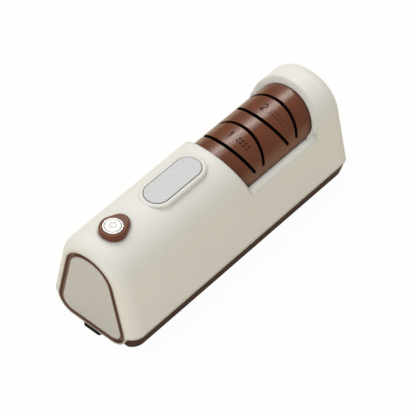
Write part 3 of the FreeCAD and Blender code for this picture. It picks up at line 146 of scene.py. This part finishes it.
def add_camera():
    right, up, forward = camera_axes()
    data = bpy.data.cameras.new("camera")
    data.sensor_width = SENSOR
    data.sensor_fit = "HORIZONTAL"
    data.lens = PIXELS_PER_MM * (DISTANCE / MM) / FRAME_PIXELS * SENSOR
    data.clip_end = CLIP_END
    cam = bpy.data.objects.new("camera", data)
    bpy.context.scene.collection.objects.link(cam)
    turn = Matrix((right, up, -forward)).transposed().to_4x4()
    turn.translation = AIM - forward * DISTANCE - right * SLIDE_RIGHT - up * SLIDE_UP
    cam.matrix_world = turn
    bpy.context.scene.camera = cam


def new_material(name):
    mat = bpy.data.materials.new(name)
    mat.use_nodes = True
    tree = mat.node_tree
    return mat, tree, tree.nodes["Principled BSDF"]


def add_node(tree, kind, **settings):
    node = tree.nodes.new(kind)
    for key, value in settings.items():
        setattr(node, key, value)
    return node


def noise(tree, coords, scale, detail, stretch=(1, 1, 1)):
    mapping = add_node(tree, "ShaderNodeMapping")
    mapping.inputs["Scale"].default_value = stretch
    tree.links.new(coords.outputs["Object"], mapping.inputs["Vector"])
    tex = add_node(tree, "ShaderNodeTexNoise")
    tex.inputs["Scale"].default_value = scale
    tex.inputs["Detail"].default_value = detail
    tree.links.new(mapping.outputs["Vector"], tex.inputs["Vector"])
    return tex


def tint_ramp(tree, source, low, high, start=0.3, end=0.7):
    ramp = add_node(tree, "ShaderNodeValToRGB")
    ramp.color_ramp.elements[0].position = start
    ramp.color_ramp.elements[1].position = end
    ramp.color_ramp.elements[0].color = (*low, 1)
    ramp.color_ramp.elements[1].color = (*high, 1)
    tree.links.new(source, ramp.inputs["Fac"])
    return ramp


def soften_edges(tree, bump, radius):
    """Round the shading at edges by a small radius, under the bump."""
    bevel = add_node(tree, "ShaderNodeBevel", samples=EDGE_SAMPLES)
    bevel.inputs["Radius"].default_value = radius
    tree.links.new(bevel.outputs["Normal"], bump.inputs["Normal"])


def paint_hollow_shade(tree, bsdf, colour_out, specular, reach, start, end):
    """Painted shade: narrow slots and grooves, found by ambient occlusion, are painted near black and lose
    their shine.
    """
    hollow_shade = add_node(tree, "ShaderNodeAmbientOcclusion", samples=HOLLOW_SHADE_SAMPLES)
    hollow_shade.inputs["Distance"].default_value = reach
    open_share = add_node(tree, "ShaderNodeMapRange", interpolation_type="SMOOTHSTEP")
    open_share.inputs["From Min"].default_value = start
    open_share.inputs["From Max"].default_value = end
    tree.links.new(hollow_shade.outputs["AO"], open_share.inputs["Value"])
    mix = add_node(tree, "ShaderNodeMix", data_type="RGBA")
    mix.inputs[6].default_value = (*HOLLOW_SHADE_COLOUR, 1)
    tree.links.new(open_share.outputs["Result"], mix.inputs["Factor"])
    tree.links.new(colour_out, mix.inputs[7])
    tree.links.new(mix.outputs[2], bsdf.inputs["Base Color"])
    shine = add_node(tree, "ShaderNodeMath", operation="MULTIPLY")
    shine.inputs[1].default_value = specular
    tree.links.new(open_share.outputs["Result"], shine.inputs[0])
    tree.links.new(shine.outputs[0], bsdf.inputs["Specular IOR Level"])


def shade(colour, share):
    return tuple(min(1.0, c * share) for c in colour)


def moulded(name, colour, rough, grain=900.0, depth=0.06, spread=0.03, stretch=(1, 1, 1), metal=0.0,
            specular=0.5, soft=0.0004, hollow_shade=None):
    """Moulded or turned surface: slight mottling, fine grain in bump and roughness."""
    mat, tree, bsdf = new_material(name)
    coords = add_node(tree, "ShaderNodeTexCoord")
    broad = noise(tree, coords, MOTTLE_SCALE, MOTTLE_DETAIL)
    ramp = tint_ramp(tree, broad.outputs["Fac"], shade(colour, 1 - spread), shade(colour, 1 + spread))
    tree.links.new(ramp.outputs["Color"], bsdf.inputs["Base Color"])
    fine = noise(tree, coords, grain, GRAIN_DETAIL, stretch)
    level = add_node(tree, "ShaderNodeMapRange")
    level.inputs["To Min"].default_value = rough * (1 - ROUGH_SWING)
    level.inputs["To Max"].default_value = rough * (1 + ROUGH_SWING)
    tree.links.new(fine.outputs["Fac"], level.inputs["Value"])
    tree.links.new(level.outputs["Result"], bsdf.inputs["Roughness"])
    bump = add_node(tree, "ShaderNodeBump")
    bump.inputs["Strength"].default_value = depth
    bump.inputs["Distance"].default_value = BUMP_REACH
    tree.links.new(fine.outputs["Fac"], bump.inputs["Height"])
    soften_edges(tree, bump, soft)
    tree.links.new(bump.outputs["Normal"], bsdf.inputs["Normal"])
    bsdf.inputs["Metallic"].default_value = metal
    bsdf.inputs["Specular IOR Level"].default_value = specular
    # painted shade in narrow hollows, where a finish asks for it
    if hollow_shade:
        paint_hollow_shade(tree, bsdf, ramp.outputs["Color"], specular, *hollow_shade)
    return mat


def speckled(name, base, dark, light, rough):
    """Fine metallic-looking speckle for the oval plate and the grit."""
    mat, tree, bsdf = new_material(name)
    coords = add_node(tree, "ShaderNodeTexCoord")
    cells = add_node(tree, "ShaderNodeTexVoronoi")
    cells.inputs["Scale"].default_value = SPECKLE_SCALE
    tree.links.new(coords.outputs["Object"], cells.inputs["Vector"])
    ramp = add_node(tree, "ShaderNodeValToRGB")
    ramp.color_ramp.elements[0].color = (*dark, 1)
    ramp.color_ramp.elements[1].color = (*light, 1)
    middle = ramp.color_ramp.elements.new(0.5)
    middle.color = (*base, 1)
    tree.links.new(cells.outputs["Color"], ramp.inputs["Fac"])
    tree.links.new(ramp.outputs["Color"], bsdf.inputs["Base Color"])
    bump = add_node(tree, "ShaderNodeBump")
    bump.inputs["Strength"].default_value = SPECKLE_BUMP
    bump.inputs["Distance"].default_value = BUMP_REACH
    tree.links.new(cells.outputs["Distance"], bump.inputs["Height"])
    tree.links.new(bump.outputs["Normal"], bsdf.inputs["Normal"])
    bsdf.inputs["Roughness"].default_value = rough
    return mat


BROWN = (0.144, 0.038, 0.0125)
DARK_BROWN = (0.054, 0.016, 0.010)

# Plain finishes by slot; soft is the shading radius at edges, the hollow shade entry the reach and range of
# the painted shade that turns slots dark
FINISHES = {
    "shell_white": dict(colour=(0.765, 0.752, 0.714), rough=0.5, spread=0.008, specular=0.35, soft=0.0035),
    "base_brown": dict(colour=DARK_BROWN, rough=0.5, spread=0.05, specular=0.25),
    "panel_grey": dict(colour=(0.55, 0.545, 0.525), rough=0.5, spread=0.01, specular=0.3, soft=0.0007),
    "collar_brown": dict(colour=BROWN, rough=0.36, spread=0.05, specular=0.3, soft=0.0007),
    "ring_chrome": dict(colour=(0.50, 0.49, 0.48), rough=0.30, grain=400.0, metal=1.0, soft=0.0002),
    "button_white": dict(colour=(0.84, 0.835, 0.82), rough=0.35, spread=0.01),
    "black_plastic": dict(colour=(0.010, 0.010, 0.0105), rough=0.55, spread=0.1, depth=0.15, specular=0.2),
    "board_green": dict(colour=(0.02, 0.12, 0.05), rough=0.35, grain=300.0, spread=0.15),
    "steel": dict(colour=(0.55, 0.55, 0.56), rough=0.3, grain=500.0, stretch=(8, 1, 1), metal=1.0,
                  soft=0.0002),
    "cell_wrap": dict(colour=(0.03, 0.12, 0.32), rough=0.28, spread=0.04),
    "brass": dict(colour=(0.62, 0.44, 0.17), rough=0.28, grain=500.0, stretch=(8, 1, 1), metal=1.0,
                  soft=0.0002),
    "wheel_alloy": dict(colour=(0.60, 0.60, 0.61), rough=0.4, grain=600.0, metal=1.0, soft=0.0002),
    # the cover's blade slots get painted shade, near black
    "head_brown": dict(colour=BROWN, rough=0.27, grain=260.0, depth=0.14, spread=0.06,
                       stretch=(9, 0.5, 0.5), specular=0.68, soft=0.0003, hollow_shade=(0.010, 0.60, 0.80)),
    "rubber": dict(colour=(0.006, 0.006, 0.006), rough=0.7, spread=0.1, depth=0.2, specular=0.15),
}

# Speckled finishes by slot
SPECKLES = {
    "plate_grey": dict(base=(0.54, 0.545, 0.56), dark=(0.49, 0.495, 0.51), light=(0.59, 0.595, 0.61),
                       rough=0.38),
    "grit_coarse": dict(base=(0.16, 0.15, 0.14), dark=(0.05, 0.05, 0.05), light=(0.4, 0.38, 0.36), rough=0.8),
    "grit_fine": dict(base=(0.62, 0.60, 0.55), dark=(0.5, 0.48, 0.44), light=(0.72, 0.7, 0.66), rough=0.7),
}


def dress_nodes():
    """Give every CAD node the finish of its slot, and the end bezel its paler brown."""
    made = {slot: moulded(slot, **look) for slot, look in FINISHES.items()}
    made.update({slot: speckled(slot, **look) for slot, look in SPECKLES.items()})
    for part in frame["record"]["subparts"]:
        node = NODES[part["node"]]
        node.data.materials.clear()
        node.data.materials.append(made[part["material_slot"]])
    bezel = moulded("bezel_brown", (0.215, 0.122, 0.092), 0.45, spread=0.04, specular=0.3)
    NODES["end_bezel"].data.materials[0] = bezel


def mesh_object(name, bm, material, body):
    mesh = bpy.data.meshes.new(name)
    bm.to_mesh(mesh)
    bm.free()
    mesh.materials.append(material)
    obj = bpy.data.objects.new(name, mesh)
    bpy.context.scene.collection.objects.link(obj)
    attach(obj, body)
    return obj


def bridge(bm, rows, closed=False):
    """Faces between successive rings of vertices, with end caps unless the rings close on themselves."""
    following = rows[1:] + rows[:1] if closed else rows[1:]
    for a, b in zip(rows, following):
        for j in range(len(a)):
            k = (j + 1) % len(a)
            bm.faces.new((a[j], b[j], b[k], a[k]))
    if not closed:
        bm.faces.new(rows[0][::-1])
        bm.faces.new(rows[-1])


def arc_strip(bm, centre, r_in, r_out, start, end, z0, z1, steps=40):
    """A raised arc of rectangular section with softened top edges."""
    soft = (r_out - r_in) * 0.25
    rows = []
    for i in range(steps + 1):
        a = start + (end - start) * i / steps
        out = Vector((math.cos(a), math.sin(a), 0))
        pts = [(r_in, z0), (r_in, z1 - soft * 0.5), (r_in + soft, z1), (r_out - soft, z1)]
        pts += [(r_out, z1 - soft * 0.5), (r_out, z0)]
        rows.append([bm.verts.new(centre + out * r + Vector((0, 0, z))) for r, z in pts])
    bridge(bm, rows)


def power_symbol():
    """Generic stand-by sign: a broken ring and a bar, raised on the button."""
    low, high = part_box("power_button")
    centre = Vector(((low.x + high.x) / 2, (low.y + high.y) / 2, 0))
    z0, z1 = high.z - SIGN_SINK, high.z + SIGN_RISE
    bm = bmesh.new()
    arc_strip(bm, centre, SIGN_R_IN, SIGN_R_OUT, math.pi + SIGN_GAP, 3 * math.pi - SIGN_GAP, z0, z1)
    for v in bmesh.ops.create_cube(bm, size=1.0)["verts"]:
        v.co = Vector((v.co.x * SIGN_BAR_LENGTH, v.co.y * SIGN_BAR_WIDTH, v.co.z * (z1 - z0)))
        v.co += centre + Vector((-SIGN_R_IN, 0, (z0 + z1) / 2))
    bmesh.ops.recalc_face_normals(bm, faces=bm.faces)
    mat = moulded("symbol_grey", (0.52, 0.50, 0.47), 0.4)
    mesh_object("power_symbol", bm, mat, "button")


def head_surface():
    """BVH of the head cover, to lay marks on it."""
    mesh = NODES["head_cover"].data
    return BVHTree.FromPolygons([v.co.copy() for v in mesh.vertices], [p.vertices[:] for p in mesh.polygons])


def numeral_strokes(kind):
    """Outline strokes of a plain numeral in a unit box, u across and v up."""
    if kind == 1:
        return [[(0.15, 0.72), (0.5, 1.0), (0.5, 0.0)]]
    top = [(0.5 + 0.4 * math.cos(a), 0.68 + 0.32 * math.sin(a)) for a in
           [math.radians(165 - 15 * i) for i in range(14)]]
    return [top + [(0.08, 0.0), (0.92, 0.0)]]


def lay_stroke(bm, points):
    """A ribbon with a raised middle along points on the cover, given as (place, normal) pairs."""
    rows = []
    for i, (p, n) in enumerate(points):
        before = points[max(i - 1, 0)][0]
        after = points[min(i + 1, len(points) - 1)][0]
        half = n.cross((after - before).normalized()).normalized() * STROKE_WIDTH / 2
        low, high = -n * STROKE_SINK, n * STROKE_RISE
        ring = (p - half + low, p - half * STROKE_FLAT + high, p + half * STROKE_FLAT + high, p + half + low)
        rows.append([bm.verts.new(q) for q in ring])
    bridge(bm, rows)


def on_cover(cover, x, y):
    """Place and normal of the cover's outside above (x, y)."""
    place, normal, _, _ = cover.ray_cast(Vector((x, y, PROBE_Z)), Vector((0, 0, -1)))
    return place, normal


def split_stroke(stroke):
    """The stroke with each of its lines cut into STROKE_STEPS, so that it can follow the cover."""
    points = []
    for (u0, v0), (u1, v1) in zip(stroke, stroke[1:]):
        for i in range(STROKE_STEPS):
            t = i / STROKE_STEPS
            points.append((u0 + (u1 - u0) * t, v0 + (v1 - v0) * t))
    return points + [stroke[-1]]


def stage_marks():
    """Plain numeral and rows of dots per stage: large dots coarse, small dots fine."""
    cover = head_surface()
    mat = moulded("mark_brown", (0.016, 0.006, 0.004), 0.7, specular=0.1)
    for kind, stage in STAGES.items():
        low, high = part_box(stage["wheel"])
        x_mid = (low.x + high.x) / 2
        bm = bmesh.new()
        for stroke in numeral_strokes(kind):
            laid = []
            for u, v in split_stroke(stroke):
                x = x_mid + (v - 0.5) * NUMERAL_HEIGHT
                laid.append(on_cover(cover, x, NUMERAL_Y - u * NUMERAL_WIDTH))
            lay_stroke(bm, laid)
        for i in range(stage["count"]):
            for row in (-1, 1):
                place, normal = on_cover(cover, x_mid + row * DOT_ROW_X, DOT_FIRST_Y - i * stage["step"])
                add_dot(bm, place, normal, stage["radius"])
        bmesh.ops.recalc_face_normals(bm, faces=bm.faces)
        mesh_object("stage_mark_%d" % kind, bm, mat, "head")


def add_dot(bm, place, normal, radius):
    """A low dome set into the surface."""
    spin = normal.to_track_quat("Z", "Y").to_matrix().to_4x4()
    spin.translation = place
    rows = []
    for i in range(DOT_RINGS):
        a = DOT_CAP * (1 - i / DOT_RINGS)
        r = radius * math.sin(a) / math.sin(DOT_CAP)
        z = radius * DOT_HEIGHT_SHARE * (math.cos(a) - math.cos(DOT_CAP)) - DOT_SINK * (i == 0)
        turns = [2 * math.pi * k / DOT_SEGMENTS for k in range(DOT_SEGMENTS)]
        rows.append([bm.verts.new(spin @ Vector((r * math.cos(t), r * math.sin(t), z))) for t in turns])
    bridge(bm, rows)


def stadium_ring(bm, centre, reach, r_in, r_out, z0, z1, steps=24):
    """Flat band round a slot shape that runs along X."""
    rows = []
    for end, start in ((1, -90), (-1, 90)):
        for i in range(steps + 1):
            a = math.radians(start + 180 * i / steps)
            hub = centre + Vector((end * reach, 0, 0))
            out = Vector((math.cos(a), math.sin(a), 0))
            rows.append([bm.verts.new(hub + out * r + Vector((0, 0, z)))
                         for r, z in ((r_in, z0), (r_in, z1), (r_out, z1), (r_out, z0))])
    bridge(bm, rows, closed=True)


def plate_gap_shade():
    """Painted shade: a dark ring in the gap round the top plate, where the gap's shadow falls."""
    low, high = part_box("top_plate")
    centre = Vector(((low.x + high.x) / 2, (low.y + high.y) / 2, 0))
    r = (high.y - low.y) / 2
    reach = (high.x - low.x) / 2 - r
    pad_top = high.z - PLATE_PROUD
    bm = bmesh.new()
    stadium_ring(bm, centre, reach, r - GAP_INSIDE, r + GAP_OUTSIDE, pad_top - GAP_DEPTH, pad_top + GAP_RISE)
    bmesh.ops.recalc_face_normals(bm, faces=bm.faces)
    # near-black colour of the painted shade in the gap
    mat = moulded("gap_painted_shade", (0.018, 0.017, 0.016), 0.7, specular=0.1)
    mesh_object("plate_gap_shade", bm, mat, "housing")


def add_floor():
    """Plain floor that keeps the object's shadow and looks near white to the camera."""
    bm = bmesh.new()
    bmesh.ops.create_grid(bm, x_segments=2, y_segments=2, size=FLOOR_HALF)
    mesh = bpy.data.meshes.new("floor")
    bm.to_mesh(mesh)
    bm.free()
    floor = bpy.data.objects.new("floor", mesh)
    bpy.context.scene.collection.objects.link(floor)
    mat, tree, bsdf = new_material("floor_white")
    bsdf.inputs["Base Color"].default_value = (*FLOOR_COLOUR, 1)
    bsdf.inputs["Roughness"].default_value = FLOOR_ROUGH
    seen = add_node(tree, "ShaderNodeLightPath")
    glow = add_node(tree, "ShaderNodeEmission")
    glow.inputs["Strength"].default_value = 1.0
    share = add_node(tree, "ShaderNodeMath", operation="MULTIPLY")
    share.inputs[1].default_value = FLOOR_WHITE
    tree.links.new(seen.outputs["Is Camera Ray"], share.inputs[0])
    mix = add_node(tree, "ShaderNodeMixShader")
    tree.links.new(share.outputs[0], mix.inputs["Fac"])
    tree.links.new(bsdf.outputs["BSDF"], mix.inputs[1])
    tree.links.new(glow.outputs["Emission"], mix.inputs[2])
    tree.links.new(mix.outputs["Shader"], tree.nodes["Material Output"].inputs["Surface"])
    mesh.materials.append(mat)


def add_world():
    """Soft room light, warm near the horizon and neutral above; plain white to the camera."""
    world = bpy.data.worlds.new("studio")
    bpy.context.scene.world = world
    world.use_nodes = True
    tree = world.node_tree
    back = tree.nodes["Background"]
    coords = add_node(tree, "ShaderNodeTexCoord")
    split = add_node(tree, "ShaderNodeSeparateXYZ")
    tree.links.new(coords.outputs["Generated"], split.inputs["Vector"])
    ramp = tint_ramp(tree, split.outputs["Z"], SKY_LOW, SKY_HIGH, 0.0, SKY_HIGH_AT)
    tree.links.new(ramp.outputs["Color"], back.inputs["Color"])
    seen = add_node(tree, "ShaderNodeLightPath")
    level = add_node(tree, "ShaderNodeMapRange")
    level.inputs["To Min"].default_value = WORLD_STRENGTH
    level.inputs["To Max"].default_value = WORLD_STRENGTH * GLOSS_SHARE
    tree.links.new(seen.outputs["Is Glossy Ray"], level.inputs["Value"])
    tree.links.new(level.outputs["Result"], back.inputs["Strength"])
    white = add_node(tree, "ShaderNodeBackground")
    white.inputs["Color"].default_value = (1, 1, 1, 1)
    mix = add_node(tree, "ShaderNodeMixShader")
    tree.links.new(seen.outputs["Is Camera Ray"], mix.inputs["Fac"])
    tree.links.new(back.outputs["Background"], mix.inputs[1])
    tree.links.new(white.outputs["Background"], mix.inputs[2])
    tree.links.new(mix.outputs["Shader"], tree.nodes["World Output"].inputs["Surface"])


def area_light(name, place, aim, size, power, colour, size_y=None):
    data = bpy.data.lights.new(name, "AREA")
    data.energy = power
    data.color = colour
    data.size = size
    if size_y:
        data.shape = "RECTANGLE"
        data.size_y = size_y
    lamp = bpy.data.objects.new(name, data)
    bpy.context.scene.collection.objects.link(lamp)
    lamp.location = place
    lamp.rotation_euler = (Vector(aim) - Vector(place)).to_track_quat("-Z", "Y").to_euler()


def main():
    scene = bpy.context.scene
    scene.view_settings.view_transform = "Standard"
    add_camera()
    add_world()
    for name, lamp in LAMPS.items():
        area_light(name, **lamp)
    add_floor()
    dress_nodes()
    power_symbol()
    stage_marks()
    plate_gap_shade()


main()
